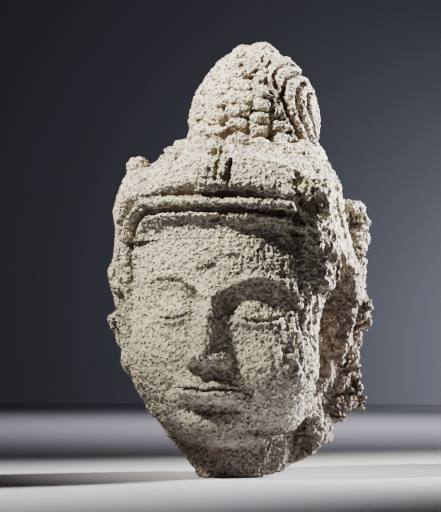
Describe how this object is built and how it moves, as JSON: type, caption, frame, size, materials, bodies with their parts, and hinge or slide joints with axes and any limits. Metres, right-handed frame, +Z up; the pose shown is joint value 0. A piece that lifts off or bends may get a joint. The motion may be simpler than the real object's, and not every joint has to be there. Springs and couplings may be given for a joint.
{
  "type": "stone head of a bodhisattva",
  "caption": "Broken-off head of a bodhisattva in carved volcanic stone, with a diadem band and a tall knot of plaited hair, standing on the flat of its broken neck.",
  "frame": {"origin": "middle of the flat place under the broken neck that the head stands on", "axes": "+Z up through the knot of hair, -Y towards the front of the face, +X towards the head's own left"},
  "size_m": [0.1993, 0.2123, 0.3327],
  "materials": {
    "volcanic_stone": "weathered, matt, open-pored grey-brown andesite"
  },
  "bodies": {
    "root": {"stone_head": "volcanic_stone"}
  },
  "joints": []
}
